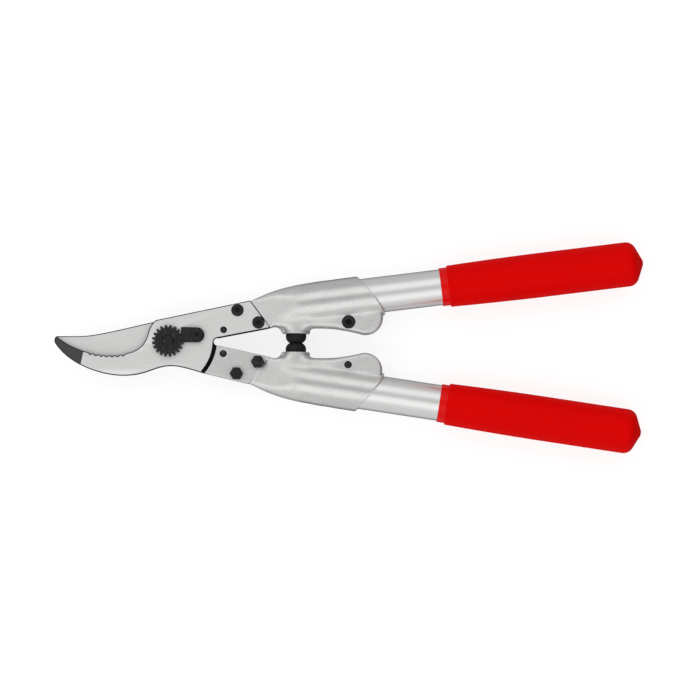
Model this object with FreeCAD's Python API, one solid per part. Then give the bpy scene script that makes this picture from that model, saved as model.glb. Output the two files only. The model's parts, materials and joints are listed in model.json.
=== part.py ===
"""Two-hand pruning shears: a fixed hook and a cutting blade on one pivot, each carried by a cast clamp socket,
an aluminium tube and a grip. Modelled closed. The origin is on the pivot axis at the outer face of the pivot
bolt's head, +Z points to the toothed nut, +X to the handles and +Y to the handle of the hook."""

import FreeCAD
import Part

import math
import os

Vector = FreeCAD.Vector
up = Vector(0, 0, 1)

# Jaws: two steel plates of the same thickness, face to face
jaw_length = 77.1
plate_thickness = 4.8
plate_gap = 0.1
edge_land = 0.2
notch_count = 7
notch_pitch = 3.7
notch_radius = 0.9
notch_start = 34.3
tip_facet_length = 18.5
tip_thickness = 2.6
tip_facet_turn = 8.0
tip_facet_height = -10.0

# Tails of the plates and tongues of the sockets
arc_radius = 30.7
heel_angle = 40.0
bend_angle = 1.5
bend_rise = 3.0
bend_depth = 0.9
bend_drop = 0.5
arc_gap = 2.2
tail_inner_angle = 11.6
tail_inner_height = -4.35
tail_outer_angle = 12.6
tail_outer_height = 15.9
tail_end = 60.3
tail_end_gap = 0.1
neck_root = 6.0
gap_edge_rise = 0.8
slant = 60.15
hub_middle_angle = 245.0
hub_end_angle = 268.0
tongue_thickness = 6.8

# Pivot: bolt, washer, toothed nut and the segment that locks the nut
pivot_diameter = 10.0
pivot_flat_depth = 0.9
pivot_thread_step = 1.0
pivot_head_rim = 3.5
pivot_head_height = 3.6
pivot_head_chamfer = 0.8
pivot_end_height = 0.7
pivot_end_chamfer = 0.8
washer_thickness = 1.0
washer_gap = 0.05
nut_teeth = 20
nut_outer_radius = 10.85
nut_root_radius = 9.0
nut_thickness = 3.6
nut_hub_radius = 5.8
nut_hub_height = 0.9
segment_centre = (19.5, 4.3)
segment_width = 10.2
segment_start = 8.8
segment_thickness = 3.2
segment_screw_diameter = 4.0
segment_screw_head_diameter = 7.6
segment_screw_head_height = 1.7
segment_screw_socket_flats = 2.5
segment_screw_socket_depth = 1.2
mesh_clearance = 0.15

# Tail bolts, nuts and dowel, placed by distance from the pivot and from the middle line
bolt_places = {"front": (46.68, 21.55), "rear": (61.0, 13.4)}
bolt_diameter = 5.0
bolt_head_diameter = 8.1
bolt_head_height = 2.2
bolt_head_sink = 1.5
bolt_socket_flats = 3.0
bolt_socket_depth = 1.3
bolt_nut_flats = 8.0
bolt_nut_height = 4.0
bolt_end_height = 0.8
dowel_place = (37.5, 8.1)
dowel_diameter = 4.6
dowel_sink = 0.6
dowel_chamfer = 0.4

# Handles: both axes lean out from the middle line by the same angle
handle_angle = 7.81
handle_offset = 14.0
tube_diameter = 24.4
tube_wall = 1.5
tube_start = 100.5
tube_length = 214.5
socket_wall = 1.95
socket_bore_start = 100.0
socket_mouth = 138.6
mouth_scoop_radius = 75.0
neck_proud = 0.35
facet_start = 58.0
facet_angle = 16.2
shoulder_half = 9.6
shoulder_past_boss = 10.0
nose_length = 44.0
nose_inset = 0.2
barrel_start_share = 0.93
ear_half = 8.6
ear_round = 2.6
web_edge = 10.1
lobe_radius = 12.0
lobe_foot_angle = 250.0
lobe_side_angle = -30.0
lobe_past_tube = 1.7
slit_width = 2.0
slit_start = 96.0

# Clamp screw that closes each socket on its tube
clamp_station = 121.1
clamp_past_tube = 3.9
clamp_diameter = 5.0
clamp_head_diameter = 8.5
clamp_head_height = 5.0
clamp_head_sink = 5.4
clamp_socket_flats = 4.0
clamp_end_sink = 0.3

# Grips: a collar, a shoulder that swells to a true cylinder, and a low conical end
grip_length = 138.1
grip_wall = 2.9
grip_collar_wall = 0.75
grip_collar_length = 5.2
grip_shoulder_wall = 1.9
grip_swell_length = 65.0
grip_shoulder_round = 0.9
grip_end_corner = 4.5
grip_end_height = 6.2
grip_point_radius = 1.5

# Rubber bumpers, which meet on the middle line when the shears are closed
bumper_station = 86.6
bumper_diameter = 13.9
bumper_rim_height = 2.6
bumper_contact_diameter = 8.6
bumper_gap = 0.1
bumper_stem_diameter = 6.0
bumper_stem_length = 7.0
boss_face = 6.2
boss_diameter = 19.0
boss_depth = 15.0
gusset_width = 2.2
gusset_drop = 0.3

# Clearances on the radius
running_clearance = 0.05
bolt_clearance = 0.12
fixed_clearance = 0.02
head_clearance = 0.25

# Cutting tools reach this far past what they cut
past = 1.0
far_past = 80.0

# Heights worked out from the values above
blade_back = pivot_head_height + washer_thickness + washer_gap
middle_height = blade_back + plate_thickness + plate_gap / 2
plate_near = plate_gap / 2
plate_far = plate_near + plate_thickness
neck_half = plate_far + neck_proud
tube_radius = tube_diameter / 2
barrel_radius = tube_radius + fixed_clearance + socket_wall
pivot_head_radius = pivot_diameter / 2 + pivot_head_rim
pivot_thread_radius = pivot_diameter / 2 - pivot_thread_step
hub_radius = tail_outer_height * math.cos(math.radians(tail_outer_angle)) - 0.3


def turned(length, degrees):
    """Point at a distance from the pivot axis, at an angle from +X."""
    angle = math.radians(degrees)
    return (length * math.cos(angle), length * math.sin(angle))


def along_handle(station, offset=0.0):
    """Point beside the upper handle's axis: distance along it, and distance out from it."""
    angle = math.radians(handle_angle)
    x = station * math.cos(angle) - offset * math.sin(angle)
    y = handle_offset + station * math.sin(angle) + offset * math.cos(angle)
    return (x, y)


def on_slant(station, offset=0.0):
    """Point on the slanted line that crosses the handle's axis at a station."""
    drift = offset / math.tan(math.radians(slant))
    return along_handle(station - drift, offset)


def inner_tail_line(x):
    """Height of the tail's inner edge, which borders the gap between the two handles."""
    return tail_inner_height + x * math.tan(math.radians(tail_inner_angle))


def outer_tail_line(x):
    """Height of the tail's outer edge."""
    return tail_outer_height + x * math.tan(math.radians(tail_outer_angle))


def slant_meets(line, station):
    """Point where a tail edge crosses the slanted line at a station, found by halving."""
    low = -3 * barrel_radius
    high = 3 * barrel_radius
    for _ in range(60):
        offset = (low + high) / 2
        x, y = on_slant(station, offset)
        if y < line(x):
            low = offset
        else:
            high = offset
    return on_slant(station, offset)


def circle_meets(line, radius):
    """Point right of the pivot where a tail edge crosses a circle about the pivot axis."""
    low = 0.0
    high = radius
    for _ in range(60):
        x = (low + high) / 2
        if math.hypot(x, line(x)) < radius:
            low = x
        else:
            high = x
    return (x, line(x))


def jaw(share, height):
    """Point on the jaws: share of the jaw length towards the tips, and height."""
    return (-jaw_length * share, height)


def mirrored(points):
    """The same points on the other side of the middle line."""
    return [(x, -y) for x, y in points]


def outline(start, steps):
    """Closed face in the XY plane, made of straight runs, arcs through a point and smooth curves."""
    edges = []
    here = Vector(start[0], start[1], 0)
    first = here
    for kind, points in steps:
        spots = [Vector(x, y, 0) for x, y in points]
        if kind == "line":
            edges.append(Part.LineSegment(here, spots[0]).toShape())
        if kind == "arc":
            edges.append(Part.Arc(here, spots[0], spots[1]).toShape())
        if kind == "curve":
            curve = Part.BSplineCurve()
            curve.interpolate([here] + spots)
            edges.append(curve.toShape())
        here = spots[-1]
    if here.distanceToPoint(first) > 1e-6:
        edges.append(Part.LineSegment(here, first).toShape())
    return Part.Face(Part.Wire(edges))


def slab(face, low, high):
    """Plate of a plan outline between two heights above the middle plane."""
    plate = face.extrude(Vector(0, 0, high - low))
    plate.translate(Vector(0, 0, low))
    return plate


def rod(radius, low, high, place=(0.0, 0.0)):
    """Upright cylinder between two heights above the middle plane."""
    return Part.makeCylinder(radius, high - low, Vector(place[0], place[1], low))


def hexagon(flats, low, high, place):
    """Upright hexagonal prism, given across its flats."""
    corner = flats / math.sqrt(3)
    points = [turned(corner, 60 * i) for i in range(6)]
    points = [(place[0] + x, place[1] + y) for x, y in points]
    face = outline(points[0], [("line", [point]) for point in points[1:]])
    return slab(face, low, high)


def handle_frame():
    """Origin and direction of the upper handle's axis."""
    x, y = along_handle(0)
    angle = math.radians(handle_angle)
    axis = Vector(math.cos(angle), math.sin(angle), 0)
    return Vector(x, y, 0), axis


def place_upper(shape):
    """Lift a piece of the hook's side from the middle plane to its height."""
    raised = shape.copy()
    raised.translate(Vector(0, 0, middle_height))
    return raised


def place_lower(shape):
    """The same piece turned over about the middle line, as on the blade's side."""
    other = shape.copy()
    other.rotate(Vector(0, 0, 0), Vector(1, 0, 0), 180)
    other.translate(Vector(0, 0, middle_height))
    return other


# Plates

def tail_steps():
    """Tail of a plate, from the round corner at the gap, round the slanted end, to its outer edge."""
    bend = circle_meets(inner_tail_line, arc_radius + bend_rise)
    inner_end = slant_meets(inner_tail_line, tail_end - tail_end_gap)
    outer_end = slant_meets(outer_tail_line, tail_end - tail_end_gap)
    return bend, inner_end, outer_end


def bend_middle():
    """Middle of the round corner between a tail's arc and its edge at the gap."""
    x = arc_radius + bend_depth
    return (x, inner_tail_line(x) - bend_drop)


def mouth_points():
    """Inner edge of the hook, from the corner over the pivot to the tip."""
    return [jaw(0.165, 8.0), jaw(0.197, 0.6), jaw(0.250, -4.9), jaw(0.353, -8.7), jaw(0.511, -10.3),
            jaw(0.687, -8.7), jaw(0.850, -4.3), jaw(0.984, 2.2)]


def hook_corner():
    """Corner where the hook's mouth meets the outer edge of its tail."""
    x, _ = jaw(0.110, 0)
    return (x, outer_tail_line(x))


def hook_face():
    """Plan of the hook, counter-clockwise from the corner over the pivot."""
    bend, inner_end, outer_end = tail_steps()
    heel = turned(arc_radius, -heel_angle)
    steps = [
        ("curve", mouth_points()),
        ("arc", [jaw(1.0, -0.2), jaw(0.989, -3.0)]),
        ("curve", [jaw(0.862, -12.7), jaw(0.685, -19.7), jaw(0.441, -23.8), jaw(0.201, -21.7),
                   jaw(0.070, -18.1), (3.0, -16.9), (12.0, -18.2), (21.0, -20.6)]),
        ("arc", [(heel[0] - 0.4, heel[1] - 0.9), heel]),
        ("arc", [turned(arc_radius, -heel_angle / 2), turned(arc_radius, -bend_angle)]),
        ("arc", [bend_middle(), bend]),
        ("line", [inner_end]),
        ("line", [outer_end]),
    ]
    return outline(hook_corner(), steps)


def notch_centres():
    """Places of the sap notches along the floor of the hook's mouth."""
    curve = Part.BSplineCurve()
    curve.interpolate([Vector(x, y, 0) for x, y in [hook_corner()] + mouth_points()])
    edge = curve.toShape()
    centres = []
    for i in range(notch_count):
        at = edge.getParameterByLength(notch_start + i * notch_pitch)
        spot = edge.valueAt(at)
        centres.append((spot.x, spot.y))
    return centres


def tip_facet():
    """Wedge ground off the front of the hook's tip."""
    start = -jaw_length + tip_facet_length
    end = -jaw_length - 2.0
    drop = (plate_thickness - tip_thickness) * (start - end) / tip_facet_length
    corners = [Vector(start, 0, plate_far), Vector(end, 0, plate_far - drop), Vector(end, 0, plate_far + 1)]
    corners.append(Vector(start, 0, plate_far + 1))
    wedge = Part.Face(Part.makePolygon(corners + [corners[0]])).extrude(Vector(0, jaw_length, 0))
    wedge.translate(Vector(0, -jaw_length / 2, 0))
    wedge.rotate(Vector(start, tip_facet_height, 0), Vector(0, 0, 1), tip_facet_turn)
    return wedge


def tail_holes():
    """Bolt holes, head seats and dowel hole of a plate."""
    holes = []
    for place in bolt_places.values():
        holes.append(rod(bolt_diameter / 2 + bolt_clearance, -far_past, far_past, place))
        seat = plate_far - bolt_head_sink
        holes.append(rod(bolt_head_diameter / 2 + head_clearance, seat, plate_far + past, place))
    holes.append(rod(dowel_diameter / 2 + fixed_clearance, -far_past, far_past, dowel_place))
    return holes


def pivot_section(radius, low, high, flat_depth):
    """Round bar with two flats, which keys the pivot bolt to the hook."""
    bar = rod(radius, low, high)
    half = radius - flat_depth
    keep = Part.makeBox(4 * radius, 2 * half, high - low, Vector(-2 * radius, -half, low))
    return bar.common(keep)


def make_hook():
    """Hook with its serrated mouth, ground tip, keyed pivot hole and tapped hole for the segment."""
    hook = slab(hook_face(), plate_near, plate_far)
    cuts = [rod(notch_radius, plate_near - past, plate_far + past, place) for place in notch_centres()]
    cuts.append(tip_facet())
    cuts.extend(tail_holes())
    key = pivot_section(pivot_diameter / 2 + fixed_clearance, plate_near - past, plate_far + past, pivot_flat_depth)
    cuts.append(key)
    screw_radius = segment_screw_diameter / 2 + fixed_clearance
    cuts.append(rod(screw_radius, plate_near - past, plate_far + past, segment_centre))
    return hook.cut(cuts)


def cutting_edge():
    """Convex cutting edge of the blade and the line on its back where the bevel starts."""
    edge = [jaw(1.030, 6.0), jaw(0.975, 0.4), jaw(0.905, -4.4), jaw(0.800, -9.6), jaw(0.650, -13.2),
            jaw(0.490, -14.3), jaw(0.330, -13.6), jaw(0.175, -11.6)]
    bevel = [jaw(1.020, 7.0), jaw(0.962, 2.2), jaw(0.885, -0.6), jaw(0.780, -3.2), jaw(0.640, -5.4),
             jaw(0.490, -6.6), jaw(0.330, -6.8), jaw(0.175, -6.4)]
    return edge, bevel


def blade_face():
    """Plan of the cutting blade on the side of the hook, with the tail that the lower socket carries."""
    bend, inner_end, outer_end = tail_steps()
    edge, _ = cutting_edge()
    spine = [jaw(0.294, 9.9), jaw(0.558, 5.1), jaw(0.751, 2.75), jaw(0.865, 2.5), jaw(0.980, 2.4)]
    top_corner = turned(arc_radius, heel_angle)
    shoulder = (jaw(0.10, 0)[0], 13.6)
    steps = [
        ("curve", spine),
        ("line", [edge[1]]),
        ("curve", edge[2:]),
        ("arc", [turned(hub_radius, hub_middle_angle), turned(hub_radius, hub_end_angle)]),
        ("arc", [(11.0, -outer_tail_line(11.0) + 1.1), (23.5, -outer_tail_line(23.5))]),
        ("line", mirrored([outer_end])),
        ("line", mirrored([inner_end])),
        ("line", mirrored([bend])),
        ("arc", mirrored([bend_middle(), turned(arc_radius, -bend_angle)])),
        ("arc", [turned(arc_radius, heel_angle / 2), top_corner]),
        ("curve", [(13.0, 17.9), (4.0, 16.2), shoulder]),
    ]
    return outline(shoulder, steps)


def bevel_cutter():
    """Wedge that grinds the back of the blade down to its cutting edge."""
    edge, bevel = cutting_edge()
    edge_height = -plate_near - edge_land
    back_height = -plate_far
    wires = []
    for reach in (-0.3, 1.2):
        height = edge_height + (back_height - edge_height) * reach
        row = [Vector(a[0] + (b[0] - a[0]) * reach, a[1] + (b[1] - a[1]) * reach, height)
               for a, b in zip(edge, bevel)]
        curve = Part.BSplineCurve()
        curve.interpolate(row)
        heel = Vector(row[-1].x, -40, height)
        toe = Vector(row[0].x - 8, -40, height)
        tip = Vector(row[0].x - 8, row[0].y, height)
        sides = [(row[-1], heel), (heel, toe), (toe, tip), (tip, row[0])]
        edges = [curve.toShape()] + [Part.LineSegment(a, b).toShape() for a, b in sides]
        wires.append(Part.Wire(edges))
    return Part.makeLoft(wires, True, True)


def make_blade():
    """Cutting blade, ground on its back, with a round running bore on the pivot bolt."""
    blade = slab(blade_face(), -plate_far, -plate_near)
    cuts = [bevel_cutter()]
    cuts.append(rod(pivot_diameter / 2 + running_clearance, -plate_far - past, past))
    blade = blade.cut(cuts)
    tail = []
    for hole in tail_holes():
        hole.rotate(Vector(0, 0, 0), Vector(1, 0, 0), 180)
        tail.append(hole)
    return blade.cut(tail)


# Pivot

def make_pivot_bolt():
    """Bolt with a flat chamfered head, a round shank in the blade, two flats in the hook and a threaded end."""
    head_radius = pivot_head_radius
    chamfer = pivot_head_chamfer
    head_low = -middle_height
    head = Part.makeCone(head_radius - chamfer, head_radius, chamfer, Vector(0, 0, head_low))
    head = head.fuse(rod(head_radius, head_low + chamfer, head_low + pivot_head_height))
    shank = rod(pivot_diameter / 2, head_low + pivot_head_height, plate_near)
    key = pivot_section(pivot_diameter / 2, plate_near, plate_far, pivot_flat_depth)
    top = plate_far + nut_thickness + nut_hub_height + pivot_end_height
    chamfer = pivot_end_chamfer
    thread = rod(pivot_thread_radius, plate_far, top - chamfer)
    point = Part.makeCone(pivot_thread_radius, pivot_thread_radius - chamfer, chamfer, Vector(0, 0, top - chamfer))
    return head.fuse([shank, key, thread, point]).removeSplitter()


def make_pivot_washer():
    """Flat washer between the bolt's head and the blade."""
    low = -middle_height + pivot_head_height
    ring = rod(pivot_head_radius, low, low + washer_thickness)
    return ring.cut(rod(pivot_diameter / 2 + bolt_clearance, low - past, low + washer_thickness + past))


def tooth_wheel(clearance, low, high):
    """Toothed disc of the pivot nut, grown by a clearance."""
    pitch = 360.0 / nut_teeth
    outer = nut_outer_radius + clearance
    root = nut_root_radius + clearance
    spread = math.degrees(clearance / root)
    points = []
    for i in range(nut_teeth):
        middle = i * pitch + pitch / 2
        for radius, share in ((root, -0.33), (outer, -0.19), (outer, 0.19), (root, 0.33)):
            half = share * pitch + math.copysign(spread, share)
            points.append(turned(radius, middle + half))
    face = outline(points[0], [("line", [point]) for point in points[1:]])
    return slab(face, low, high)


def make_pivot_nut():
    """Nut with a toothed rim and a raised hub."""
    low = plate_far
    high = low + nut_thickness
    nut = tooth_wheel(0.0, low, high)
    nut = nut.fuse(rod(nut_hub_radius, low, high + nut_hub_height))
    bore = rod(pivot_thread_radius + fixed_clearance, low - past, high + nut_hub_height + past)
    return nut.cut(bore)


def make_segment():
    """Locking segment: a slotted-end bar whose toothed end holds the nut."""
    x, y = segment_centre
    half = segment_width / 2
    steps = [
        ("line", [(x, y - half)]),
        ("arc", [(x + half, y), (x, y + half)]),
        ("line", [(segment_start, y + half)]),
    ]
    low = plate_far
    high = low + segment_thickness
    bar = slab(outline((segment_start, y - half), steps), low, high)
    bar = bar.cut(tooth_wheel(mesh_clearance, low - past, high + past))
    return bar.cut(rod(segment_screw_diameter / 2 + bolt_clearance, low - past, high + past, segment_centre))


def make_segment_screw():
    """Screw that fastens the segment to the hook."""
    seat = plate_far + segment_thickness
    top = seat + segment_screw_head_height
    screw = rod(segment_screw_head_diameter / 2, seat, top, segment_centre)
    screw = screw.fuse(rod(segment_screw_diameter / 2, plate_near + 0.3, seat, segment_centre))
    floor = top - segment_screw_socket_depth
    return screw.cut(hexagon(segment_screw_socket_flats, floor, top + past, segment_centre))


# Tail fasteners, in the places of the hook's side

def make_bolt(place):
    """Low-headed socket bolt through a plate and its tongue."""
    seat = plate_far - bolt_head_sink
    top = seat + bolt_head_height
    end = -tongue_thickness - bolt_nut_height - bolt_end_height
    bolt = rod(bolt_head_diameter / 2, seat, top, place).fuse(rod(bolt_diameter / 2, end, seat, place))
    return bolt.cut(hexagon(bolt_socket_flats, top - bolt_socket_depth, top + past, place))


def make_nut(place):
    """Hexagon nut on the outer face of the tongue."""
    low = -tongue_thickness - bolt_nut_height
    nut = hexagon(bolt_nut_flats, low, -tongue_thickness, place)
    crown = Part.makeCone(bolt_nut_flats / 2, bolt_nut_flats / 2 + bolt_nut_height, bolt_nut_height,
                          Vector(place[0], place[1], low))
    nut = nut.common(crown)
    return nut.cut(rod(bolt_diameter / 2 + fixed_clearance, low - past, past, place))


def make_dowel():
    """Pin that takes the shear between a plate and its tongue, sunk a little at the plate's face."""
    low = -tongue_thickness
    high = plate_far - dowel_sink
    radius = dowel_diameter / 2
    pin = rod(radius, low + dowel_chamfer, high - dowel_chamfer, dowel_place)
    x, y = dowel_place
    tip = Part.makeCone(radius, radius - dowel_chamfer, dowel_chamfer, Vector(x, y, high - dowel_chamfer))
    tail = Part.makeCone(radius - dowel_chamfer, radius, dowel_chamfer, Vector(x, y, low))
    return pin.fuse([tip, tail]).removeSplitter()


# Socket: one casting, used both ways up

def tongue():
    """Flat tongue that backs the plate's tail and ends in an arc about the pivot."""
    radius = arc_radius + arc_gap
    inner_start = circle_meets(inner_tail_line, radius + 0.2)
    outer_start = circle_meets(outer_tail_line, radius)
    inner_end = slant_meets(inner_tail_line, tail_end)
    outer_end = slant_meets(outer_tail_line, tail_end)
    middle = math.degrees(math.atan2(outer_start[1], outer_start[0])) / 2 + 2
    steps = [
        ("line", [inner_end]),
        ("line", [outer_end]),
        ("line", [outer_start]),
        ("arc", [turned(radius, middle), inner_start]),
    ]
    return slab(outline(inner_start, steps), -tongue_thickness, plate_near)


def gap_edge():
    """Edge of the neck beside the gap, from the plate's end to the foot of the boss."""
    x, _ = slant_meets(inner_tail_line, tail_end)
    foot = bumper_station - boss_diameter / 2 - gusset_width
    return [("arc", [((x + foot) / 2, web_edge + gap_edge_rise), (foot, web_edge)])]


def neck():
    """Flat neck between the plate's end and the bumper boss."""
    inner_end = slant_meets(inner_tail_line, tail_end)
    inner_root = slant_meets(inner_tail_line, tail_end - neck_root)
    outer_root = slant_meets(outer_tail_line, tail_end - neck_root)
    outer_end = slant_meets(outer_tail_line, tail_end)
    steps = [
        ("line", [inner_end]),
        *gap_edge(),
        ("line", [(bumper_station - boss_diameter / 2 + 0.5, boss_face + gusset_drop)]),
        ("line", [(bumper_station, boss_face + gusset_drop)]),
        ("line", [along_handle(bumper_station + 12, 3.0)]),
        ("curve", [along_handle(bumper_station - 4, 5.4), outer_end]),
        ("line", [outer_root]),
    ]
    return slab(outline(inner_root, steps), -neck_half, neck_half)


def shoulder():
    """Thick part behind the boss, between the neck and the web."""
    end = bumper_station + shoulder_past_boss
    steps = gap_edge() + [
        ("line", [(end, web_edge)]),
        ("line", [along_handle(end, 0)]),
        ("line", [on_slant(tail_end, 0)]),
    ]
    start = slant_meets(inner_tail_line, tail_end)
    return slab(outline(start, steps), -shoulder_half, shoulder_half)


def nose_ring(station, outer, inner, height):
    """Section square to the handle's axis: two half ellipses of different widths."""
    centre, axis = handle_frame()
    place = centre + axis * station
    across = up.cross(axis)
    ring = Part.BSplineCurve()
    points = []
    for i in range(16):
        angle = 2 * math.pi * i / 16
        width = outer if math.cos(angle) > 0 else inner
        points.append(place + across * (width * math.cos(angle)) + up * (height * math.sin(angle)))
    ring.interpolate(points, PeriodicFlag=True)
    return Part.Wire([ring.toShape()])


def nose():
    """Swelling between the neck and the barrel, before its facets are cut.

    Each section gives its place as a share of the nose's length, and its shares of the full width on the outer
    side, of the full width on the side of the gap, and of the full height."""
    sections = [(-0.14, 0.38, 0.60, 0.80), (0.05, 0.60, 0.80, 0.85), (0.22, 0.76, 0.92, 0.90),
                (0.42, 0.885, 0.99, 0.95), (0.62, 0.96, 0.99, 0.98), (0.80, 0.99, 0.995, 0.99),
                (0.98, 1.0, 1.0, 1.0)]
    full = barrel_radius - nose_inset
    rings = []
    for place, outer, inner, height in sections:
        rings.append(nose_ring(tail_end + nose_length * place, full * outer, full * inner, full * height))
    return Part.makeLoft(rings, True, False)


def facet_cuts():
    """Room above and below the flat facets that slope from the plate's end up to the barrel's top and bottom."""
    centre, axis = handle_frame()
    across = up.cross(axis)
    rise = math.tan(math.radians(facet_angle))
    low = centre + axis * (facet_start - neck_half / rise)
    reach = 2 * barrel_radius / rise
    top = up * (reach * rise)
    wedge = Part.Face(Part.makePolygon([low, low + axis * reach + top, low + top, low]))
    upper = wedge.extrude(across * (6 * barrel_radius))
    upper.translate(across * (-3 * barrel_radius))
    return [upper, upper.mirror(Vector(0, 0, 0), up)]


def barrel():
    """Round barrel over the tube, cut off on the slant at its mouth, which is scooped a little hollow."""
    centre, axis = handle_frame()
    start = tail_end + nose_length * barrel_start_share
    tube = Part.makeCylinder(barrel_radius, far_past, centre + axis * start, axis)
    far = mouth_scoop_radius / math.sin(math.radians(slant))
    low = Vector(*on_slant(socket_mouth + far, -far_past), 0)
    high = Vector(*on_slant(socket_mouth + far, far_past), 0)
    scoop = Part.makeCylinder(mouth_scoop_radius, (high - low).Length, low, high - low)
    return tube.cut(scoop)


def lobe_centre():
    """Middle of the round clamp lobe, tangent to the slanted mouth."""
    offset = -(tube_radius + lobe_past_tube)
    station = socket_mouth - offset / math.tan(math.radians(slant))
    station = station - lobe_radius / math.sin(math.radians(slant))
    return along_handle(station, offset)


def ears():
    """Web and lobe beside the barrel, with rounded edges, before the slit divides them."""
    x, y = lobe_centre()
    rounds = [turned(lobe_radius, angle) for angle in (90 - slant + handle_angle, lobe_foot_angle, lobe_side_angle)]
    mouth, leave, east = [(x + right, y + rise) for right, rise in rounds]
    level = (x - 26, web_edge)
    steps = [
        ("line", [level]),
        ("curve", [(x - 15, web_edge - 1.0), leave]),
        ("arc", [east, mouth]),
        ("line", [on_slant(socket_mouth, 0)]),
        ("line", [along_handle(bumper_station + 6, 0)]),
    ]
    plate = slab(outline((bumper_station, web_edge), steps), -ear_half, ear_half)
    rounded = []
    for edge in plate.Edges:
        box = edge.BoundBox
        flat = box.ZLength < 1e-6
        if flat and (edge.Curve.TypeId != "Part::GeomLine" or box.YLength < 1e-6):
            rounded.append(edge)
    return plate.makeFillet(ear_round, rounded)


def boss():
    """Round boss that carries the bumper."""
    start = Vector(bumper_station, boss_face, 0)
    return Part.makeCylinder(boss_diameter / 2, boss_depth, start, Vector(0, 1, 0))


def clamp_place():
    """Place of the clamp screw beside the tube."""
    return along_handle(clamp_station, -(tube_radius + clamp_past_tube))


def tail_room():
    """Room for the plate's tail on the tongue, and for the nuts under it."""
    low = on_slant(tail_end, -far_past)
    high = on_slant(tail_end, far_past)
    plan = outline((0, low[1]), [("line", [low]), ("line", [high]), ("line", [(0, high[1])])])
    reach = shoulder_half + past
    return [slab(plan, plate_near, reach), slab(plan, -reach, -tongue_thickness)]


def make_socket():
    """Casting with the tongue, neck, barrel, clamp ears and bumper boss."""
    centre, axis = handle_frame()
    body = neck().fuse([shoulder(), nose(), barrel(), ears()]).cut(facet_cuts())
    body = body.cut(tail_room()).fuse([boss(), tongue()])
    place = clamp_place()
    radius = clamp_diameter / 2
    cuts = [Part.makeCylinder(tube_radius + fixed_clearance, far_past, centre + axis * socket_bore_start, axis)]
    slit = outline(along_handle(slit_start, 0), [("line", [along_handle(slit_start, -far_past)]),
                                                 ("line", [along_handle(slit_start + far_past, -far_past)]),
                                                 ("line", [along_handle(slit_start + far_past, 0)])])
    cuts.append(slab(slit, -slit_width / 2, slit_width / 2))
    cuts.append(rod(radius + bolt_clearance, 0, far_past, place))
    cuts.append(rod(radius + fixed_clearance, -far_past, past, place))
    cuts.append(rod(clamp_head_diameter / 2 + head_clearance, ear_half - clamp_head_sink, far_past, place))
    for spot in bolt_places.values():
        cuts.append(rod(bolt_diameter / 2 + bolt_clearance, -far_past, plate_far, spot))
    cuts.append(rod(dowel_diameter / 2 + fixed_clearance, -far_past, plate_far, dowel_place))
    stem = Vector(bumper_station, boss_face - past, 0)
    cuts.append(Part.makeCylinder(bumper_stem_diameter / 2 + fixed_clearance, bumper_stem_length + past + 0.2, stem,
                                  Vector(0, 1, 0)))
    return body.cut(cuts)


def make_clamp_screw():
    """Socket-head screw through the front ear into the thread of the back ear."""
    place = clamp_place()
    seat = ear_half - clamp_head_sink
    top = seat + clamp_head_height
    screw = rod(clamp_head_diameter / 2, seat, top, place)
    screw = screw.fuse(rod(clamp_diameter / 2, -ear_half + clamp_end_sink, seat, place))
    return screw.cut(hexagon(clamp_socket_flats, top - 2.5, top + 1, place))


# Tube, grip and bumper

def make_tube():
    """Drawn tube that joins the socket and the grip."""
    centre, axis = handle_frame()
    start = centre + axis * tube_start
    tube = Part.makeCylinder(tube_radius, tube_length, start, axis)
    return tube.cut(Part.makeCylinder(tube_radius - tube_wall, tube_length, start, axis))


def grip_end():
    """Station of the grip's closed end."""
    return tube_start + tube_length + grip_end_height + grip_wall


def make_grip():
    """Grip drawn over the tube: a revolved outline with rounded shoulder and end."""
    centre, axis = handle_frame()
    end = grip_end()
    start = end - grip_length
    collar = tube_radius + grip_collar_wall
    shoulder = tube_radius + grip_shoulder_wall
    full = tube_radius + grip_wall
    step = start + grip_collar_length
    bore_end = tube_start + tube_length
    bore = tube_radius + fixed_clearance

    def spot(station, radius):
        return centre + axis * station + up * radius

    bend = grip_shoulder_round
    swell = Part.BSplineCurve()
    swell.interpolate([spot(step + bend, shoulder), spot(step + grip_swell_length * 0.5, full - 0.3),
                       spot(step + grip_swell_length, full)],
                      InitialTangent=axis * 40 + up * 1.2, FinalTangent=axis * 40)
    corner = grip_end_corner
    edge_start = end - grip_end_height - corner
    slope_start = end - grip_end_height + corner * 0.45
    edges = [
        Part.LineSegment(spot(start, bore), spot(start, collar)).toShape(),
        Part.LineSegment(spot(start, collar), spot(step, collar)).toShape(),
        Part.LineSegment(spot(step, collar), spot(step, shoulder - bend)).toShape(),
        Part.Arc(spot(step, shoulder - bend), spot(step + bend * 0.29, shoulder - bend * 0.29),
                 spot(step + bend, shoulder)).toShape(),
        swell.toShape(),
        Part.LineSegment(spot(step + grip_swell_length, full), spot(edge_start, full)).toShape(),
        Part.Arc(spot(edge_start, full), spot(edge_start + corner * 0.86, full - corner * 0.26),
                 spot(slope_start, full - corner * 0.93)).toShape(),
        Part.LineSegment(spot(slope_start, full - corner * 0.93), spot(end, grip_point_radius)).toShape(),
        Part.LineSegment(spot(end, grip_point_radius), spot(end, 0)).toShape(),
        Part.LineSegment(spot(end, 0), spot(bore_end, 0)).toShape(),
        Part.LineSegment(spot(bore_end, 0), spot(bore_end, bore)).toShape(),
        Part.LineSegment(spot(bore_end, bore), spot(start, bore)).toShape(),
    ]
    return Part.Face(Part.Wire(edges)).revolve(centre, axis, 360)


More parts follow.
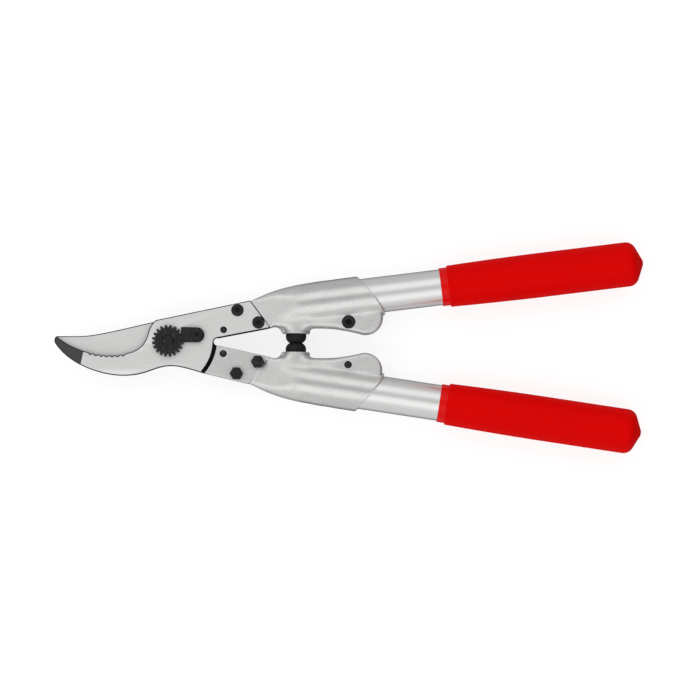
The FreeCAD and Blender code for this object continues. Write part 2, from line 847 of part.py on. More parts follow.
def make_bumper():
    """Rubber bumper with a domed face and a stem in the boss."""
    rim = bumper_diameter / 2
    flat = bumper_contact_diameter / 2
    face = bumper_gap / 2
    base = Vector(bumper_station, 0, 0)
    across = Vector(1, 0, 0)
    up = Vector(0, 1, 0)

    def spot(height, radius):
        return base + up * height + across * radius

    rim_height = boss_face - bumper_rim_height
    stem = bumper_stem_diameter / 2
    stem_end = boss_face + bumper_stem_length
    edges = [
        Part.LineSegment(spot(face, 0), spot(face, flat)).toShape(),
        Part.Arc(spot(face, flat), spot(face + rim_height * 0.42, (flat + rim) / 2 + 0.45),
                 spot(rim_height, rim)).toShape(),
        Part.LineSegment(spot(rim_height, rim), spot(boss_face, rim)).toShape(),
        Part.LineSegment(spot(boss_face, rim), spot(boss_face, stem)).toShape(),
        Part.LineSegment(spot(boss_face, stem), spot(stem_end, stem)).toShape(),
        Part.LineSegment(spot(stem_end, stem), spot(stem_end, 0)).toShape(),
        Part.LineSegment(spot(stem_end, 0), spot(face, 0)).toShape(),
    ]
    return Part.Face(Part.Wire(edges)).revolve(base, up, 360)


def build():
    """All pieces by node name."""
    pieces = {
        "hook": place_upper(make_hook()),
        "cutting_blade": place_upper(make_blade()),
        "pivot_bolt": place_upper(make_pivot_bolt()),
        "pivot_washer": place_upper(make_pivot_washer()),
        "pivot_nut": place_upper(make_pivot_nut()),
        "locking_segment": place_upper(make_segment()),
        "segment_screw": place_upper(make_segment_screw()),
    }
    shared = {
        "socket": make_socket(),
        "tube": make_tube(),
        "grip": make_grip(),
        "bumper": make_bumper(),
        "clamp_screw": make_clamp_screw(),
        "dowel": make_dowel(),
    }
    for name, place in bolt_places.items():
        shared["bolt_" + name] = make_bolt(place)
        shared["nut_" + name] = make_nut(place)
    for name, shape in shared.items():
        pieces["hook_side_" + name] = place_upper(shape)
        pieces["blade_side_" + name] = place_lower(shape)
    return pieces


os.makedirs("parts", exist_ok=True)
for node, shape in build().items():
    shape.exportStep("parts/" + node + ".step")
    box = shape.BoundBox
    print(node, shape.isValid(), len(shape.Solids), round(shape.Volume, 1),
          [round(v, 2) for v in (box.XMin, box.YMin, box.ZMin, box.XMax, box.YMax, box.ZMax)])
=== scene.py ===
import json
import math

import bmesh
import bpy
from mathutils import Matrix, Vector

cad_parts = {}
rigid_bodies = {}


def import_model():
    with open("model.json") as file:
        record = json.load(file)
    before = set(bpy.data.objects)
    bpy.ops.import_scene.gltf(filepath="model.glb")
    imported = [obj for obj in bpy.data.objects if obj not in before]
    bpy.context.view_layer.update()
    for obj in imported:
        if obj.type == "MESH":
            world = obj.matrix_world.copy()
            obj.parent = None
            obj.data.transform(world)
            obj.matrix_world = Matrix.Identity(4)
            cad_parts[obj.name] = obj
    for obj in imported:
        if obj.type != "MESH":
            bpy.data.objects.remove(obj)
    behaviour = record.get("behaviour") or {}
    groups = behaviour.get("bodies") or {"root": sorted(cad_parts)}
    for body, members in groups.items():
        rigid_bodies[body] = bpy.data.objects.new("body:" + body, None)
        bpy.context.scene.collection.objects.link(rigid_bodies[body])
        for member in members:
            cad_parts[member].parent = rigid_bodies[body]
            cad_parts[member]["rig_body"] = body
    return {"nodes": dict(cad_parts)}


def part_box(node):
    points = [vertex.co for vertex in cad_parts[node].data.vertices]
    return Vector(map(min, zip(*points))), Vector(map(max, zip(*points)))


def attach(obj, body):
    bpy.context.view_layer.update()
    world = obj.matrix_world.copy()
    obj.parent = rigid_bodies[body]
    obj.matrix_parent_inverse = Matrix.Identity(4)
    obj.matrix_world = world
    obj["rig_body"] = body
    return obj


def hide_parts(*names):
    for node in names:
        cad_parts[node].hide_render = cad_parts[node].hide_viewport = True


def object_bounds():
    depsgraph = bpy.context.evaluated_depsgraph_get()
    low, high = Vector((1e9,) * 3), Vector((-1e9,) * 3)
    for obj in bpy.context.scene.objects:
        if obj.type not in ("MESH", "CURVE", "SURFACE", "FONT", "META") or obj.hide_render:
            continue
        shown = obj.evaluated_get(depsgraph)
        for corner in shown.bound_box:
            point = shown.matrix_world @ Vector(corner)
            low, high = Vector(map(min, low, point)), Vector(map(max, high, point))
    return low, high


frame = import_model()
cad_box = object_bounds()

MM = 0.001
merge_distance = 0.002 * MM
flat_angle = math.radians(0.6)

# the two handles are alike: the blade side is the hook side turned over about this level
middle_height = (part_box("hook")[1].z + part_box("cutting_blade")[0].z) / 2
handle_angle = math.radians(7.81)
handle_offset = 14.0 * MM
grip_start = 186.0 * MM

# view
view_centre = Vector((123.3 * MM, -4.2 * MM, middle_height))
view_width = 474.6 * MM
view_roll = math.radians(0.81)
view_tilt = math.radians(2.5)
lens = 300.0
sensor = 36.0


# materials
noise_roughness = 0.55
blackened_tip = -55.6 * MM
blackened_tip_fade = 0.15 * MM
blackened_tip_slant = 0.2
blackened_tip_height = 1.5 * MM
# the blade's face beyond this radius from the pivot is painted dark as shade
shaded_gap_radius = 30.2 * MM
polished_barrel_start = 84 * MM
collar_length = 4.6 * MM

# a normal's share along Z: a level face, one that is nearly level, and a wall
level_share = 0.995
near_level_share = 0.98
polished_share = 0.9
wall_share = 0.2

# small steel parts
sharp_angle = math.radians(35)
crease_angle = math.radians(25)
recess_margin = 0.25 * MM

# jaw plates
rim_width = 0.62 * MM
plate_crease_angle = math.radians(20)
hole_reach = 6.5 * MM
facing_share = 0.9
seat_reach = 4.9 * MM
longest_edge = 12 * MM
lowest_wall = 0.3 * MM
tail_start = 50 * MM
tail_end_facing = 0.6
full_rim = 1.0
light_rim = 0.5

# castings: stations run along the handle, offsets across it, heights from the middle level
voxel = 0.45 * MM
casting_crease_angle = math.radians(70)
barrel_start = 95 * MM
bore_reach = 13.2 * MM
screw_seat_reach = 5.2 * MM
slit_start = 96 * MM
slit_reach = 1.6 * MM
slit_offset = -8 * MM
tail_end_x = 0.806
tail_end_y = 0.592
tail_end_distance = 61.4 * MM
neck_past_tail = 0.8 * MM
neck_inner_edge = 6.7 * MM
neck_edge_rate = 1.6
neck_end = 118 * MM
ear_start = 104 * MM
ear_end = 142 * MM
ear_outer_offset = -19 * MM
ear_inner_offset = -5 * MM
ear_half_thickness = 3.0 * MM
pad_before_tail = 0.5 * MM
pad_length = 6 * MM
pad_depth = 3.5 * MM
# the casting's inward walls near the neck are painted dark as shade
shaded_wall_end = 66 * MM
shaded_wall_inward = 0.35
shaded_wall_upward = 0.85
# how far inside the blend, and how many steps of softening from there on
blend_steps = (
    (0.0, 8), (0.8 * MM, 12), (1.8 * MM, 20), (3.0 * MM, 30), (4.5 * MM, 40),
)
last_steps = 3

# studio
lit_station = 60 * MM
softbox_distance = 0.9
softbox_length = 3.0
softbox_width = 0.66
softbox_power = 2.4
floor_gap = 0.2 * MM
floor_half_width = 6.0


class Value:
    """A shader socket; the usual operators on it add Math nodes."""

    def __init__(self, finish, socket):
        self.finish = finish
        self.socket = socket

    def maths(self, operation, *others):
        node = self.finish.node("ShaderNodeMath", {"operation": operation}, *others)
        return Value(self.finish, node.outputs[0])

    def __add__(self, other):
        return self.maths("ADD", self, other)

    __radd__ = __add__

    def __mul__(self, other):
        return self.maths("MULTIPLY", self, other)

    __rmul__ = __mul__

    def __sub__(self, other):
        return self.maths("SUBTRACT", self, other)

    def __rsub__(self, other):
        return self.maths("SUBTRACT", other, self)

    def between(self, low, high):
        """0 below low and 1 above high, with a soft step."""
        node = self.finish.node(
            "ShaderNodeMapRange",
            {"interpolation_type": "SMOOTHSTEP"},
            self, low, high, 0.0, 1.0,
        )
        return Value(self.finish, node.outputs[0])


class Finish:
    """One material, with the nodes that it is made from."""

    def __init__(self, name):
        self.material = bpy.data.materials.new(name)
        self.material.use_nodes = True
        self.tree = self.material.node_tree
        self.tree.nodes.clear()
        output = self.node("ShaderNodeOutputMaterial", {})
        self.shader = self.node("ShaderNodeBsdfPrincipled", {})
        self.tree.links.new(self.shader.outputs[0], output.inputs["Surface"])
        self.place = self.node("ShaderNodeTexCoord", {}).outputs["Object"]
        parts = self.node("ShaderNodeSeparateXYZ", {}, self.place)
        self.x, self.y, self.z = [Value(self, socket) for socket in parts.outputs]

    def put(self, socket, value):
        if isinstance(value, Value):
            value = value.socket
        if isinstance(value, bpy.types.NodeSocket):
            self.tree.links.new(value, socket)
        else:
            socket.default_value = value

    def node(self, kind, settings, *values, **named):
        """Adds a node: its settings, then its sockets in order, then its sockets by name."""
        node = self.tree.nodes.new(kind)
        for key, value in settings.items():
            setattr(node, key, value)
        for socket, value in zip(node.inputs, values):
            self.put(socket, value)
        for name, value in named.items():
            self.put(node.inputs[name.replace("_", " ")], value)
        return node

    def placed(self, turn, stretch):
        """Object coordinates, turned about Z and then scaled."""
        return self.node(
            "ShaderNodeMapping",
            {"vector_type": "TEXTURE"},
            self.place, (0.0, 0.0, 0.0), (0.0, 0.0, turn), stretch,
        ).outputs[0]

    def noise(self, size, detail, place=None):
        """Soft noise with features of about this size in metres."""
        node = self.node(
            "ShaderNodeTexNoise", {},
            Vector=self.place if place is None else place,
            Scale=1.0 / size, Detail=detail, Roughness=noise_roughness,
        )
        return Value(self, node.outputs[0])

    def cells(self, size):
        """Distance to the nearest of scattered points, in cells of about this size."""
        node = self.node("ShaderNodeTexVoronoi", {}, Vector=self.place, Scale=1.0 / size)
        return Value(self, node.outputs["Distance"])

    def mix(self, share, first, second):
        """The first colour where the share is 0, the second where it is 1."""
        node = self.node("ShaderNodeMix", {"data_type": "RGBA"})
        self.put(node.inputs[0], share)
        self.put(node.inputs[6], first)
        self.put(node.inputs[7], second)
        return node.outputs[2]

    def bump(self, height, depth):
        """The surface's normal with this height, which is depth metres where it is 1."""
        return self.node(
            "ShaderNodeBump", {}, Strength=1.0, Distance=depth, Height=height,
        ).outputs[0]

    def done(self, **values):
        """Sets the shader's sockets, and gives the material."""
        for name, value in values.items():
            self.put(self.shader.inputs[name.replace("_", " ")], value)
        return self.material


def grey(level, warmth):
    """A grey of this level, with that share of its blue taken away."""
    return (level, level * (1.0 - 0.2 * warmth), level * (1.0 - warmth), 1.0)


# materials ------------------------------------------------------------------------------


def jaw_steel():
    """Ground and polished blade steel, with fine grinding lines along the jaws."""
    finish = Finish("ground_jaw_steel")
    lines = finish.noise(1.0, 2.0, finish.placed(0.1, (9 * MM, 0.22 * MM, 0.22 * MM)))
    clouds = finish.noise(11 * MM, 4.0)
    grain = finish.noise(0.5 * MM, 2.0)
    # the blackened facet at the hook's point
    tip = 1.0 - (finish.x - finish.y * blackened_tip_slant).between(
        blackened_tip - blackened_tip_fade, blackened_tip + blackened_tip_fade
    )
    tip_level = middle_height + blackened_tip_height
    tip = tip * finish.z.between(tip_level, tip_level + 0.5 * MM)
    # painted shade: the blade's face past this radius on the jaws' side is painted near black,
    # where it lies in the gap and under the casting
    root = (finish.x * finish.x + finish.y * finish.y).between(
        shaded_gap_radius ** 2, (shaded_gap_radius + 0.5 * MM) ** 2
    )
    root = root * finish.x.between(0.0, 1.0 * MM)
    root = root * (1.0 - finish.z.between(middle_height, middle_height + 0.04 * MM))
    bright = finish.mix(clouds * 0.55 + lines * 0.45, grey(0.82, 0.015), grey(0.92, 0.015))
    colour = finish.mix(tip, bright, grey(0.095, 0.03))
    colour = finish.mix(root, colour, grey(0.02, 0.03))
    rough = 0.42 + clouds * 0.06 + lines * 0.08
    return finish.done(
        Base_Color=colour, Metallic=1.0, Roughness=rough,
        Normal=finish.bump(lines * 0.6 + grain * 0.4, 0.010 * MM),
    )


def edge_shade_steel():
    """Painted shade: near-black steel for the plates' cut walls and eased rims, and for the
    castings' inward walls.
    """
    finish = Finish("painted_edge_shade")
    grain = finish.noise(0.6 * MM, 4.0)
    bare = finish.noise(3.5 * MM, 4.0).between(0.55, 0.8)
    colour = finish.mix(bare, grey(0.012, 0.05), grey(0.06, 0.04))
    return finish.done(
        Base_Color=colour, Metallic=0.8, Roughness=0.42 + grain * 0.2,
        Normal=finish.bump(grain, 0.015 * MM),
    )


def washer_steel():
    """Plain steel with a fine grain."""
    finish = Finish("washer_steel")
    grain = finish.noise(0.3 * MM, 3.0)
    colour = finish.mix(grain, grey(0.5, 0.02), grey(0.66, 0.02))
    return finish.done(
        Base_Color=colour, Metallic=1.0, Roughness=0.28 + grain * 0.12,
        Normal=finish.bump(grain, 0.008 * MM),
    )


def black_steel():
    """Blackened steel, rubbed a little brighter in places."""
    finish = Finish("blackened_steel")
    grain = finish.noise(0.35 * MM, 3.0)
    rub = finish.noise(2.6 * MM, 4.0).between(0.52, 0.72)
    colour = finish.mix(rub, grey(0.02, 0.08), grey(0.06, 0.10))
    return finish.done(
        Base_Color=colour, Metallic=0.55, Roughness=0.42 + grain * 0.16 - rub * 0.08,
        Normal=finish.bump(grain, 0.02 * MM),
    )


def socket_shade():
    """Painted shade for the inside of a screw's socket: near black, as if no light reached it.
    """
    finish = Finish("screw_socket_painted_shade")
    grain = finish.noise(0.4 * MM, 3.0)
    colour = finish.mix(grain, grey(0.004, 0.05), grey(0.012, 0.05))
    return finish.done(Base_Color=colour, Metallic=0.3, Roughness=0.6 + grain * 0.2)


def cast_aluminium():
    """Die casting: the round parts polished smoother than the blasted flats."""
    finish = Finish("tumbled_cast_aluminium")
    pits = finish.cells(0.55 * MM)
    skin = finish.noise(0.9 * MM, 4.0)
    flow = finish.noise(6 * MM, 4.0)
    patches = finish.noise(16 * MM, 3.0)
    across = finish.y.maths("ABSOLUTE", finish.y) - handle_offset
    across = across * math.cos(handle_angle) - finish.x * math.sin(handle_angle)
    barrel = across.between(-13 * MM, -7 * MM) * finish.x.between(
        polished_barrel_start, polished_barrel_start + 10 * MM
    )
    shade = pits * 0.35 + skin * 0.4 + flow * 0.25
    colour = finish.mix(shade.between(0.2, 0.75), grey(0.64, 0.01), grey(0.85, 0.015))
    rough = 0.36 + skin * 0.12 + patches * 0.06 - barrel * 0.14
    height = pits * 0.5 + skin * 0.8 + flow * 1.2
    return finish.done(
        Base_Color=colour, Metallic=1.0, Roughness=rough,
        Normal=finish.bump(height, 0.035 * MM),
    )


def drawn_aluminium(side):
    """Anodised tube with faint draw lines along it."""
    finish = Finish("drawn_aluminium_" + side)
    turn = handle_angle if side == "hook_side" else -handle_angle
    lines = finish.noise(1.0, 2.0, finish.placed(turn, (60 * MM, 0.35 * MM, 0.35 * MM)))
    clouds = finish.noise(9 * MM, 3.0)
    colour = finish.mix(lines, grey(0.84, 0.01), grey(0.93, 0.01))
    return finish.done(
        Base_Color=colour, Metallic=1.0, Roughness=0.29 + lines * 0.10 + clouds * 0.04,
        Normal=finish.bump(lines, 0.006 * MM),
    )


def red_vinyl():
    """Soft dipped vinyl with a slight orange peel; the collar at its mouth is glossier."""
    finish = Finish("red_vinyl_sleeve")
    peel = finish.noise(2.2 * MM, 2.0)
    fine = finish.noise(0.4 * MM, 2.0)
    clouds = finish.noise(22 * MM, 3.0)
    station = finish.x * math.cos(handle_angle)
    far_side = finish.y.maths("ABSOLUTE", finish.y)
    station = station + (far_side - handle_offset) * math.sin(handle_angle)
    collar_end = grip_start + collar_length
    collar = 1.0 - station.between(collar_end, collar_end + 1.0 * MM)
    colour = finish.mix(clouds, (0.82, 0.0006, 0.0006, 1.0), (0.95, 0.001, 0.001, 1.0))
    finish.shader.inputs["Specular IOR Level"].default_value = 0.035
    finish.shader.inputs["Coat Roughness"].default_value = 0.12
    return finish.done(
        Base_Color=colour, Roughness=0.45 + fine * 0.12, Coat_Weight=collar * 0.3,
        Normal=finish.bump(peel * 1.2 + fine * 0.3, 0.05 * MM),
    )


def black_rubber():
    """Moulded rubber with faint lines along Y, a little dusty."""
    finish = Finish("black_rubber")
    grain = finish.noise(0.5 * MM, 3.0)
    lines = finish.noise(1.0, 2.0, finish.placed(0.0, (0.5 * MM, 6 * MM, 0.5 * MM)))
    dust = finish.noise(3 * MM, 4.0).between(0.5, 0.75)
    colour = finish.mix(dust, grey(0.008, 0.05), grey(0.02, 0.05))
    finish.shader.inputs["Specular IOR Level"].default_value = 0.3
    return finish.done(
        Base_Color=colour, Roughness=0.55 + grain * 0.15,
        Normal=finish.bump(grain * 0.5 + lines * 0.8, 0.06 * MM),
    )


# pieces ---------------------------------------------------------------------------------


def cad_copy(node):
    """A CAD part's mesh as a bmesh, with its loose triangles merged."""
    mesh = bmesh.new()
    mesh.from_mesh(frame["nodes"][node].data)
    bmesh.ops.remove_doubles(mesh, verts=mesh.verts, dist=merge_distance)
    return mesh


def modified(mesh, kind, **settings):
    """The mesh after one modifier."""
    data = bpy.data.meshes.new("rough")
    mesh.to_mesh(data)
    mesh.free()
    rough = bpy.data.objects.new("rough", data)
    bpy.context.scene.collection.objects.link(rough)
    modifier = rough.modifiers.new("change", kind)
    for key, value in settings.items():
        setattr(modifier, key, value)
    changed = bpy.data.meshes.new_from_object(
        rough.evaluated_get(bpy.context.evaluated_depsgraph_get())
    )
    bpy.data.objects.remove(rough)
    result = bmesh.new()
    result.from_mesh(changed)
    return result


def whole_faces(mesh):
    """Joins the triangles of each flat face."""
    bmesh.ops.dissolve_limit(
        mesh, angle_limit=flat_angle, use_dissolve_boundaries=False,
        verts=mesh.verts, edges=mesh.edges, delimit={"NORMAL"},
    )


def middle_of(node):
    """The middle of a CAD part, seen from above."""
    place = sum(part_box(node), Vector()) / 2
    return Vector((place.x, place.y, 0.0))


def around_hole(middle, normal, holes):
    """Whether a wall here faces the middle of a nearby hole."""
    for hole in holes:
        inward = hole - middle
        if inward.length < hole_reach and normal.dot(inward.normalized()) > facing_share:
            return True
    return False


def distance_to_edge(place, edge):
    """Level distance from a place to an edge."""
    first, last = [Vector((vertex.co.x, vertex.co.y, 0.0)) for vertex in edge.verts]
    along = last - first
    share = (place - first).dot(along) / max(along.length_squared, 1e-12)
    return (first + along * min(max(share, 0.0), 1.0) - place).length


def weigh_rims(mesh):
    """Marks the outline's edges for easing, lightly where a bolt's seat is close behind them."""
    seats = []
    holes = [middle_of("pivot_bolt"), middle_of("segment_screw")]
    for side in ("hook_side_", "blade_side_"):
        seats += [middle_of(side + "bolt_front"), middle_of(side + "bolt_rear")]
        holes.append(middle_of(side + "dowel"))
    holes += seats
    long_edges = [edge for edge in mesh.edges if edge.calc_length() > longest_edge]
    bmesh.ops.subdivide_edges(mesh, edges=long_edges, cuts=12)
    weight = mesh.edges.layers.float.new("bevel_weight_edge")
    for edge in mesh.edges:
        if not edge.is_manifold:
            continue
        level, wall = sorted(edge.link_faces, key=lambda face: -abs(face.normal.z))
        heights = [vertex.co.z for vertex in wall.verts]
        if abs(level.normal.z) < near_level_share or abs(wall.normal.z) > wall_share:
            continue
        if max(heights) - min(heights) < lowest_wall:
            continue
        middle = (edge.verts[0].co + edge.verts[1].co) / 2
        middle.z = 0.0
        if around_hole(middle, wall.normal, holes):
            continue
        nearest = min(distance_to_edge(seat, edge) for seat in seats)
        at_end = wall.normal.x > tail_end_facing and middle.x > tail_start
        edge[weight] = light_rim if nearest < seat_reach or at_end else full_rim


def add_piece(mesh, name, node, materials, corner, flats=True):
    """Makes the finished object: on the node's body and in its place."""
    data = bpy.data.meshes.new(name)
    mesh.to_mesh(data)
    mesh.free()
    for face in data.polygons:
        face.use_smooth = not (flats and abs(face.normal.z) > level_share)
    data.set_sharp_from_angle(angle=corner)
    for material in materials:
        data.materials.append(material)
    piece = bpy.data.objects.new(name, data)
    bpy.context.scene.collection.objects.link(piece)
    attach(piece, frame["nodes"][node]["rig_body"])
    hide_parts(node)


def eased_piece(node, name, materials, width, recess=0.0):
    """A small steel part with its sharp edges eased; its socket takes the second material, which
    paints shade there.
    """
    mesh = cad_copy(node)
    whole_faces(mesh)
    mesh = modified(
        mesh, "BEVEL", limit_method="ANGLE", angle_limit=sharp_angle,
        width=width, segments=2, use_clamp_overlap=True,
    )
    low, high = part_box(node)
    axis = middle_of(node)
    for face in mesh.faces:
        centre = face.calc_center_median()
        from_axis = (Vector((centre.x, centre.y, 0.0)) - axis).length
        inside = min(high.z - centre.z, centre.z - low.z) > recess_margin
        # faces inside the socket get the painted shade material
        if from_axis < recess and inside:
            face.material_index = 1
    add_piece(mesh, name, node, materials, crease_angle)


def jaw_plate(node, name, steel, edge_shade):
    """A jaw's plate: polished faces, with eased rims and walls painted dark as shade."""
    mesh = cad_copy(node)
    whole_faces(mesh)
    weigh_rims(mesh)
    mesh = modified(
        mesh, "BEVEL", limit_method="WEIGHT", width=rim_width, segments=1,
        use_clamp_overlap=False, loop_slide=False,
    )
    # the walls and rims take the painted shade material, a dark outline along edges, notches and
    # gaps
    for face in mesh.faces:
        face.material_index = 0 if abs(face.normal.z) > polished_share else 1
    add_piece(mesh, name, node, [steel, edge_shade], plate_crease_angle)


def soften(mesh, vertices, steps):
    """Rounds the shape at these vertices, a little at each step."""
    for step in range(steps):
        bmesh.ops.smooth_vert(
            mesh, verts=vertices, factor=0.5,
            use_axis_x=True, use_axis_y=True, use_axis_z=True,
        )


class CastingPlace:
    """A place on a casting, measured from its handle's axis as on the hook's side."""

    def __init__(self, place, up, screw):
        self.point = Vector((place.x, place.y * up, 0.0))
        from_start = self.point - Vector((0.0, handle_offset, 0.0))
        along = Vector((math.cos(handle_angle), math.sin(handle_angle), 0.0))
        across = Vector((-math.sin(handle_angle), math.cos(handle_angle), 0.0))
        self.station = from_start.dot(along)
        self.offset = from_start.dot(across)
        self.height = (place.z - middle_height) * up
        self.from_axis = math.hypot(self.offset, self.height)
        self.from_screw = (self.point - screw).length
        self.past_tail = (
            self.point.x * tail_end_x + self.point.y * tail_end_y - tail_end_distance
        )

    def is_seat(self):
        """Whether the tube or the clamp screw bears here."""
        in_bore = self.station > barrel_start and self.from_axis < bore_reach
        return in_bore or self.from_screw < screw_seat_reach

    def in_slit(self):
        """Whether this is the clamp's slit."""
        beside = abs(self.height) < slit_reach and self.offset < slit_offset
        return self.station > slit_start and beside

    def blend_depth(self):
        """How far inside the blended parts of the casting this is."""
        neck = min(
            self.past_tail - neck_past_tail, neck_end - self.station,
            (self.point.y - neck_inner_edge) * neck_edge_rate,
        )
        ear = min(
            self.from_screw - screw_seat_reach, abs(self.height) - ear_half_thickness,
            self.station - ear_start, ear_end - self.station,
            self.offset - ear_outer_offset, ear_inner_offset - self.offset,
        )
        pad_end = min(
            self.past_tail + pad_before_tail, pad_length - self.past_tail,
            -self.height - pad_depth,
        )
        return max(neck, ear, pad_end)


def casting(side, material, edge_shade):
    """One handle's die casting, with its corners and joins softened as a mould leaves them."""
    node = side + "_socket"
    up = 1.0 if side == "hook_side" else -1.0
    screw = middle_of(side + "_clamp_screw")
    screw.y *= up
    mesh = modified(cad_copy(node), "REMESH", mode="VOXEL", voxel_size=voxel)
    plain = []
    depths = []
    for vertex in mesh.verts:
        place = CastingPlace(vertex.co, up, screw)
        if place.is_seat():
            continue
        plain.append(vertex)
        if not place.in_slit():
            depths.append((place.blend_depth(), vertex))
    for margin, steps in blend_steps:
        inside = [vertex for depth, vertex in depths if depth > margin]
        soften(mesh, inside, steps)
    soften(mesh, plain, last_steps)
    # painted shade: inward-facing upright walls near the neck take the dark edge material
    for face in mesh.faces:
        centre = face.calc_center_median()
        inward = -face.normal.y * up > shaded_wall_inward
        upright = abs(face.normal.z) < shaded_wall_upward
        if inward and upright and centre.x < shaded_wall_end:
            face.material_index = 1
    add_piece(
        mesh, side + "_casting", node,
        [material, edge_shade], casting_crease_angle, flats=False,
    )


def paint(node, material):
    """Gives a CAD part whose own mesh shows a finished material."""
    for material_slot in frame["nodes"][node].material_slots:
        material_slot.material = material


# studio ---------------------------------------------------------------------------------


def make_camera():
    """The camera high above the front face, and a little towards -Y."""
    data = bpy.data.cameras.new("camera")
    data.lens = lens
    data.sensor_width = sensor
    data.clip_end = 50.0
    camera = bpy.data.objects.new("camera", data)
    bpy.context.scene.collection.objects.link(camera)
    distance = view_width * lens / sensor
    back = Vector((0.0, -math.sin(view_tilt), math.cos(view_tilt)))
    up = Vector((-math.sin(view_roll), math.cos(view_roll), 0.0))
    up = (up - back * up.dot(back)).normalized()
    right = up.cross(back)
    turn = Matrix((right, up, back)).transposed().to_4x4()
    camera.matrix_world = Matrix.Translation(view_centre + back * distance) @ turn
    bpy.context.scene.camera = camera


def make_softbox(name, angle):
    """A soft light, leaning this far from overhead towards +Y."""
    data = bpy.data.lights.new(name, "AREA")
    data.shape = "RECTANGLE"
    data.size = softbox_length
    data.size_y = softbox_width
    data.energy = softbox_power
    light = bpy.data.objects.new(name, data)
    light.visible_camera = False
    bpy.context.scene.collection.objects.link(light)
    target = Vector((lit_station, 0.0, middle_height))
    lean = math.radians(angle)
    place = target + Vector((0.0, math.sin(lean), math.cos(lean))) * softbox_distance
    turn = (target - place).to_track_quat("-Z", "Y").to_matrix().to_4x4()
    light.matrix_world = Matrix.Translation(place) @ turn


def make_floor(level):
    """A white floor that reflects nothing onto the object."""
    mesh = bmesh.new()
    bmesh.ops.create_grid(mesh, x_segments=1, y_segments=1, size=floor_half_width)
    bmesh.ops.translate(mesh, verts=mesh.verts, vec=(0.0, 0.0, level))
    data = bpy.data.meshes.new("floor")
    mesh.to_mesh(data)
    mesh.free()
    finish = Finish("pale_floor")
    data.materials.append(
        finish.done(
            Base_Color=(0.35, 0.35, 0.35, 1.0), Roughness=1.0,
            Emission_Color=(1.0, 1.0, 1.0, 1.0), Emission_Strength=0.78,
        )
    )
    floor = bpy.data.objects.new("floor", data)
    bpy.context.scene.collection.objects.link(floor)
    floor.visible_glossy = False
    floor.visible_diffuse = False


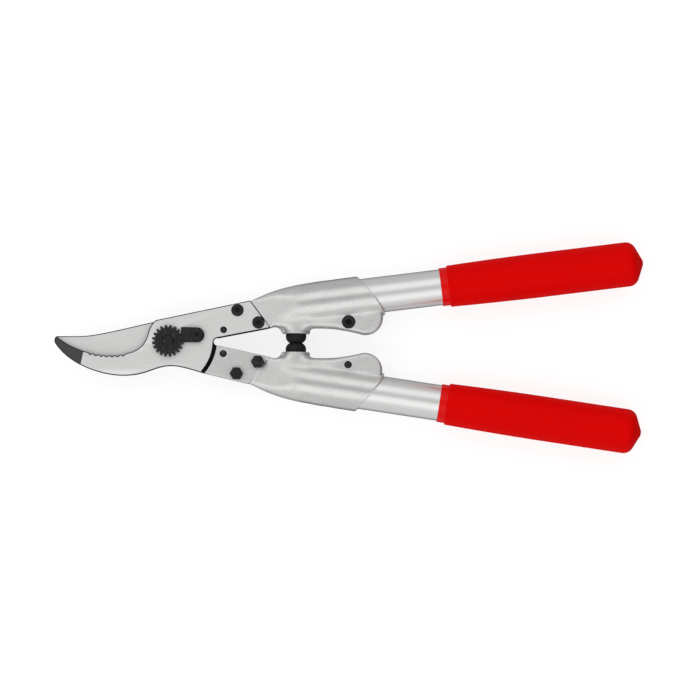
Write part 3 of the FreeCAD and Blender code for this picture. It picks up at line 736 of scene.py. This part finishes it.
def make_surroundings(overhead, around, underfoot, at_ends, at_far_side, at_jaws_end):
    """A pale room, a little darker between the two softboxes, and white behind the object."""
    world = bpy.data.worlds.new("room")
    world.use_nodes = True
    tree = world.node_tree
    tree.nodes.clear()

    def add(kind, **settings):
        node = tree.nodes.new(kind)
        for key, value in settings.items():
            setattr(node, key, value)
        return node

    direction = add("ShaderNodeTexCoord")
    parts = add("ShaderNodeSeparateXYZ")
    tree.links.new(direction.outputs["Generated"], parts.inputs[0])

    def level(part, middle, start, end, first, last):
        """A level that changes from first to last, on both sides where a middle is given."""
        socket = parts.outputs[part]
        if middle is not None:
            for operation in ("SUBTRACT", "ABSOLUTE"):
                step = add("ShaderNodeMath", operation=operation)
                step.inputs[1].default_value = middle
                tree.links.new(socket, step.inputs[0])
                socket = step.outputs[0]
        ramp = add("ShaderNodeMapRange", interpolation_type="SMOOTHSTEP")
        tree.links.new(socket, ramp.inputs[0])
        for name, value in zip(
            ("From Min", "From Max", "To Min", "To Max"), (start, end, first, last)
        ):
            ramp.inputs[name].default_value = value
        return ramp.outputs[0]

    def times(first, second):
        product = add("ShaderNodeMath", operation="MULTIPLY")
        tree.links.new(first, product.inputs[0])
        tree.links.new(second, product.inputs[1])
        return product.outputs[0]

    strength = level("Y", 0.07, 0.08, 0.38, overhead, around)
    strength = times(strength, level("Z", None, -0.96, -0.55, underfoot, 1.0))
    strength = times(strength, level("X", 0.0, 0.50, 0.90, 1.0, at_ends))
    strength = times(strength, level("Y", None, 0.45, 0.85, 1.0, at_far_side))
    strength = times(strength, level("X", None, -0.60, -0.30, at_jaws_end, 1.0))
    room = add("ShaderNodeBackground")
    tree.links.new(strength, room.inputs["Strength"])
    backdrop = add("ShaderNodeBackground")
    for light in (room, backdrop):
        light.inputs["Color"].default_value = (1.0, 1.0, 1.0, 1.0)
    ray = add("ShaderNodeLightPath")
    mix = add("ShaderNodeMixShader")
    output = add("ShaderNodeOutputWorld")
    tree.links.new(ray.outputs["Is Camera Ray"], mix.inputs[0])
    tree.links.new(room.outputs[0], mix.inputs[1])
    tree.links.new(backdrop.outputs[0], mix.inputs[2])
    tree.links.new(mix.outputs[0], output.inputs["Surface"])
    bpy.context.scene.world = world


def build():
    """Makes every piece and gives the rest their materials."""
    steel = jaw_steel()
    edge_shade = edge_shade_steel()
    black = black_steel()
    painted_socket_shade = socket_shade()
    cast = cast_aluminium()
    vinyl = red_vinyl()
    rubber = black_rubber()
    jaw_plate("hook", "hook_plate", steel, edge_shade)
    jaw_plate("cutting_blade", "blade_plate", steel, edge_shade)
    eased_piece("pivot_bolt", "pivot_bolt_turned", [black], 0.2 * MM)
    eased_piece("pivot_nut", "pivot_nut_toothed", [black], 0.2 * MM)
    eased_piece("locking_segment", "segment_toothed", [black], 0.25 * MM)
    eased_piece("segment_screw", "segment_screw_head", [black, painted_socket_shade], 0.3 * MM, 1.5 * MM)
    eased_piece("pivot_washer", "pivot_washer_ring", [washer_steel()], 0.15 * MM)
    for side in ("hook_side", "blade_side"):
        for small, width, recess in (
            ("clamp_screw", 0.35, 2.4), ("bolt_front", 0.35, 1.8), ("bolt_rear", 0.35, 1.8),
            ("dowel", 0.15, 0.0), ("nut_front", 0.3, 0.0), ("nut_rear", 0.3, 0.0),
        ):
            node = side + "_" + small
            eased_piece(node, node + "_eased", [black, painted_socket_shade], width * MM, recess * MM)
        casting(side, cast, edge_shade)
        paint(side + "_tube", drawn_aluminium(side))
        paint(side + "_grip", vinyl)
        paint(side + "_bumper", rubber)


bpy.context.scene.view_settings.view_transform = "Standard"
make_camera()
make_softbox("softbox_far", 38.0)
make_softbox("softbox_near", -34.0)
make_floor(cad_box[0].z - floor_gap)
make_surroundings(
    overhead=0.44, around=0.65, underfoot=0.05,
    at_ends=0.33, at_far_side=0.8, at_jaws_end=1.7,
)
build()
